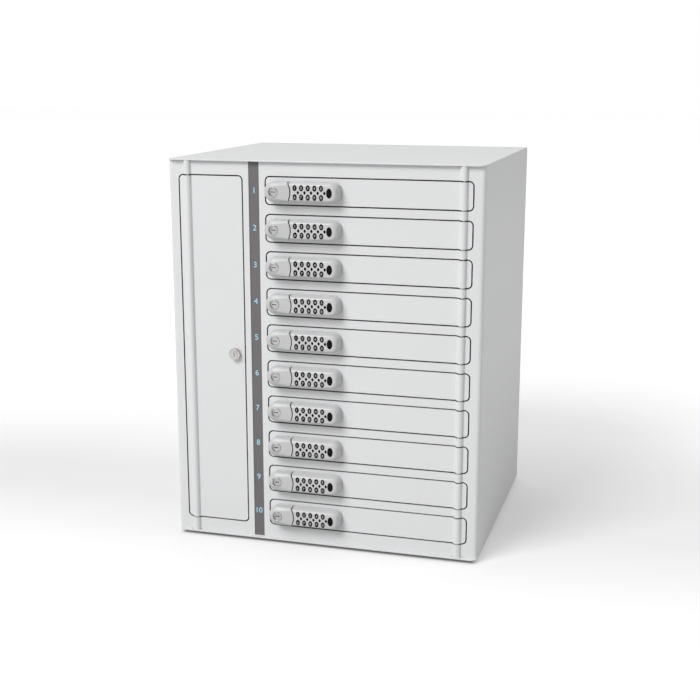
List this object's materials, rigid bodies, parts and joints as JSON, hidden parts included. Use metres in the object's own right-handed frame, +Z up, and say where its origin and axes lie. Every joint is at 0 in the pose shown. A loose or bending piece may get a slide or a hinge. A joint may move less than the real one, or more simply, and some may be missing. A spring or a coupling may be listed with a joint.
{
  "type": "laptop charging locker",
  "caption": "Steel cabinet with a stack of small doors, each with a keypad cam lock, beside a tall locked bay that holds chargers and sockets.",
  "frame": {"origin": "on the floor under the middle of the cabinet, at the bottom centre of its bounding box", "axes": "+X to the cabinet's right as one faces the doors, +Y from the doors to the back, +Z up"},
  "size_m": [0.5716, 0.5108, 0.7057],
  "materials": {
    "cabinet_paint": "pale grey powder coat, satin",
    "door_paint": "pale grey powder coat, satin",
    "strip_film": "mid grey printed film, matt",
    "lock_housing": "pale grey moulded plastic, satin",
    "lock_knob_metal": "die-cast metal, pale grey paint",
    "key_black": "black silicone keys",
    "lock_nickel": "nickel-plated, satin",
    "black_rubber": "matt black rubber",
    "steel_rod": "bright drawn steel",
    "nylon": "natural nylon",
    "socket_plastic": "white moulded plastic",
    "inlet_plastic": "black moulded plastic",
    "plated_steel": "zinc-plated steel"
  },
  "bodies": {
    "cabinet": {"front_fascia": "cabinet_paint", "side_panel_left": "cabinet_paint", "side_panel_right": "cabinet_paint", "top_panel": "cabinet_paint", "base_panel": "cabinet_paint", "back_panel": "cabinet_paint", "bay_divider": "cabinet_paint", "compartment_shelves": "cabinet_paint", "number_strip": "strip_film", "feet": "black_rubber", "hinge_rods": "steel_rod", "hinge_washers": "nylon", "adapter_trays": "cabinet_paint", "cable_edgings": "black_rubber", "socket_strip": "socket_plastic", "mains_inlet": "inlet_plastic", "back_panel_screws": "plated_steel"},
    "service_door_leaf": {"service_door": "door_paint", "service_lock_body": "lock_nickel"},
    "service_lock_cam": {"service_lock_plug": "lock_nickel"},
    "door_01": {"compartment_door_01": "door_paint", "lock_body_01": "lock_housing"},
    "knob_01": {"lock_knob_01": "lock_knob_metal"},
    "keys_01": {"lock_keys_01": "key_black"},
    "door_02": {"compartment_door_02": "door_paint", "lock_body_02": "lock_housing"},
    "knob_02": {"lock_knob_02": "lock_knob_metal"},
    "keys_02": {"lock_keys_02": "key_black"},
    "door_03": {"compartment_door_03": "door_paint", "lock_body_03": "lock_housing"},
    "knob_03": {"lock_knob_03": "lock_knob_metal"},
    "keys_03": {"lock_keys_03": "key_black"},
    "door_04": {"compartment_door_04": "door_paint", "lock_body_04": "lock_housing"},
    "knob_04": {"lock_knob_04": "lock_knob_metal"},
    "keys_04": {"lock_keys_04": "key_black"},
    "door_05": {"compartment_door_05": "door_paint", "lock_body_05": "lock_housing"},
    "knob_05": {"lock_knob_05": "lock_knob_metal"},
    "keys_05": {"lock_keys_05": "key_black"},
    "door_06": {"compartment_door_06": "door_paint", "lock_body_06": "lock_housing"},
    "knob_06": {"lock_knob_06": "lock_knob_metal"},
    "keys_06": {"lock_keys_06": "key_black"},
    "door_07": {"compartment_door_07": "door_paint", "lock_body_07": "lock_housing"},
    "knob_07": {"lock_knob_07": "lock_knob_metal"},
    "keys_07": {"lock_keys_07": "key_black"},
    "door_08": {"compartment_door_08": "door_paint", "lock_body_08": "lock_housing"},
    "knob_08": {"lock_knob_08": "lock_knob_metal"},
    "keys_08": {"lock_keys_08": "key_black"},
    "door_09": {"compartment_door_09": "door_paint", "lock_body_09": "lock_housing"},
    "knob_09": {"lock_knob_09": "lock_knob_metal"},
    "keys_09": {"lock_keys_09": "key_black"},
    "door_10": {"compartment_door_10": "door_paint", "lock_body_10": "lock_housing"},
    "knob_10": {"lock_knob_10": "lock_knob_metal"},
    "keys_10": {"lock_keys_10": "key_black"}
  },
  "joints": [
    {"name": "service_door_hinge", "type": "hinge", "parent": "cabinet", "child": "service_door_leaf", "pos_m": [-0.2498, -0.2309, 0.35645], "axis": [0, 0, -1], "range_deg": [0, 170]},
    {"name": "service_lock_turn", "type": "hinge", "parent": "service_door_leaf", "child": "service_lock_cam", "pos_m": [-0.1652, -0.2319, 0.35645], "axis": [0, -1, 0], "range_deg": [0, 90]},
    {"name": "door_01_hinge", "type": "hinge", "parent": "cabinet", "child": "door_01", "pos_m": [0.2493, -0.2309, 0.65345], "axis": [0, 0, 1], "range_deg": [0, 170]},
    {"name": "knob_01_turn", "type": "hinge", "parent": "door_01", "child": "knob_01", "pos_m": [-0.0822, -0.2319, 0.65345], "axis": [0, 1, 0], "range_deg": [0, 90]},
    {"name": "keys_01_press", "type": "slide", "parent": "door_01", "child": "keys_01", "axis": [0, 1, 0], "range_m": [0, 0.0005], "stiffness_N_per_m": 400},
    {"name": "door_02_hinge", "type": "hinge", "parent": "cabinet", "child": "door_02", "pos_m": [0.2493, -0.2309, 0.58745], "axis": [0, 0, 1], "range_deg": [0, 170]},
    {"name": "knob_02_turn", "type": "hinge", "parent": "door_02", "child": "knob_02", "pos_m": [-0.0822, -0.2319, 0.58745], "axis": [0, 1, 0], "range_deg": [0, 90]},
    {"name": "keys_02_press", "type": "slide", "parent": "door_02", "child": "keys_02", "axis": [0, 1, 0], "range_m": [0, 0.0005], "stiffness_N_per_m": 400},
    {"name": "door_03_hinge", "type": "hinge", "parent": "cabinet", "child": "door_03", "pos_m": [0.2493, -0.2309, 0.52145], "axis": [0, 0, 1], "range_deg": [0, 170]},
    {"name": "knob_03_turn", "type": "hinge", "parent": "door_03", "child": "knob_03", "pos_m": [-0.0822, -0.2319, 0.52145], "axis": [0, 1, 0], "range_deg": [0, 90]},
    {"name": "keys_03_press", "type": "slide", "parent": "door_03", "child": "keys_03", "axis": [0, 1, 0], "range_m": [0, 0.0005], "stiffness_N_per_m": 400},
    {"name": "door_04_hinge", "type": "hinge", "parent": "cabinet", "child": "door_04", "pos_m": [0.2493, -0.2309, 0.45545], "axis": [0, 0, 1], "range_deg": [0, 170]},
    {"name": "knob_04_turn", "type": "hinge", "parent": "door_04", "child": "knob_04", "pos_m": [-0.0822, -0.2319, 0.45545], "axis": [0, 1, 0], "range_deg": [0, 90]},
    {"name": "keys_04_press", "type": "slide", "parent": "door_04", "child": "keys_04", "axis": [0, 1, 0], "range_m": [0, 0.0005], "stiffness_N_per_m": 400},
    {"name": "door_05_hinge", "type": "hinge", "parent": "cabinet", "child": "door_05", "pos_m": [0.2493, -0.2309, 0.38945], "axis": [0, 0, 1], "range_deg": [0, 170]},
    {"name": "knob_05_turn", "type": "hinge", "parent": "door_05", "child": "knob_05", "pos_m": [-0.0822, -0.2319, 0.38945], "axis": [0, 1, 0], "range_deg": [0, 90]},
    {"name": "keys_05_press", "type": "slide", "parent": "door_05", "child": "keys_05", "axis": [0, 1, 0], "range_m": [0, 0.0005], "stiffness_N_per_m": 400},
    {"name": "door_06_hinge", "type": "hinge", "parent": "cabinet", "child": "door_06", "pos_m": [0.2493, -0.2309, 0.32345], "axis": [0, 0, 1], "range_deg": [0, 170]},
    {"name": "knob_06_turn", "type": "hinge", "parent": "door_06", "child": "knob_06", "pos_m": [-0.0822, -0.2319, 0.32345], "axis": [0, 1, 0], "range_deg": [0, 90]},
    {"name": "keys_06_press", "type": "slide", "parent": "door_06", "child": "keys_06", "axis": [0, 1, 0], "range_m": [0, 0.0005], "stiffness_N_per_m": 400},
    {"name": "door_07_hinge", "type": "hinge", "parent": "cabinet", "child": "door_07", "pos_m": [0.2493, -0.2309, 0.25745], "axis": [0, 0, 1], "range_deg": [0, 170]},
    {"name": "knob_07_turn", "type": "hinge", "parent": "door_07", "child": "knob_07", "pos_m": [-0.0822, -0.2319, 0.25745], "axis": [0, 1, 0], "range_deg": [0, 90]},
    {"name": "keys_07_press", "type": "slide", "parent": "door_07", "child": "keys_07", "axis": [0, 1, 0], "range_m": [0, 0.0005], "stiffness_N_per_m": 400},
    {"name": "door_08_hinge", "type": "hinge", "parent": "cabinet", "child": "door_08", "pos_m": [0.2493, -0.2309, 0.19145], "axis": [0, 0, 1], "range_deg": [0, 170]},
    {"name": "knob_08_turn", "type": "hinge", "parent": "door_08", "child": "knob_08", "pos_m": [-0.0822, -0.2319, 0.19145], "axis": [0, 1, 0], "range_deg": [0, 90]},
    {"name": "keys_08_press", "type": "slide", "parent": "door_08", "child": "keys_08", "axis": [0, 1, 0], "range_m": [0, 0.0005], "stiffness_N_per_m": 400},
    {"name": "door_09_hinge", "type": "hinge", "parent": "cabinet", "child": "door_09", "pos_m": [0.2493, -0.2309, 0.12545], "axis": [0, 0, 1], "range_deg": [0, 170]},
    {"name": "knob_09_turn", "type": "hinge", "parent": "door_09", "child": "knob_09", "pos_m": [-0.0822, -0.2319, 0.12545], "axis": [0, 1, 0], "range_deg": [0, 90]},
    {"name": "keys_09_press", "type": "slide", "parent": "door_09", "child": "keys_09", "axis": [0, 1, 0], "range_m": [0, 0.0005], "stiffness_N_per_m": 400},
    {"name": "door_10_hinge", "type": "hinge", "parent": "cabinet", "child": "door_10", "pos_m": [0.2493, -0.2309, 0.05945], "axis": [0, 0, 1], "range_deg": [0, 170]},
    {"name": "knob_10_turn", "type": "hinge", "parent": "door_10", "child": "knob_10", "pos_m": [-0.0822, -0.2319, 0.05945], "axis": [0, 1, 0], "range_deg": [0, 90]},
    {"name": "keys_10_press", "type": "slide", "parent": "door_10", "child": "keys_10", "axis": [0, 1, 0], "range_m": [0, 0.0005], "stiffness_N_per_m": 400}
  ]
}
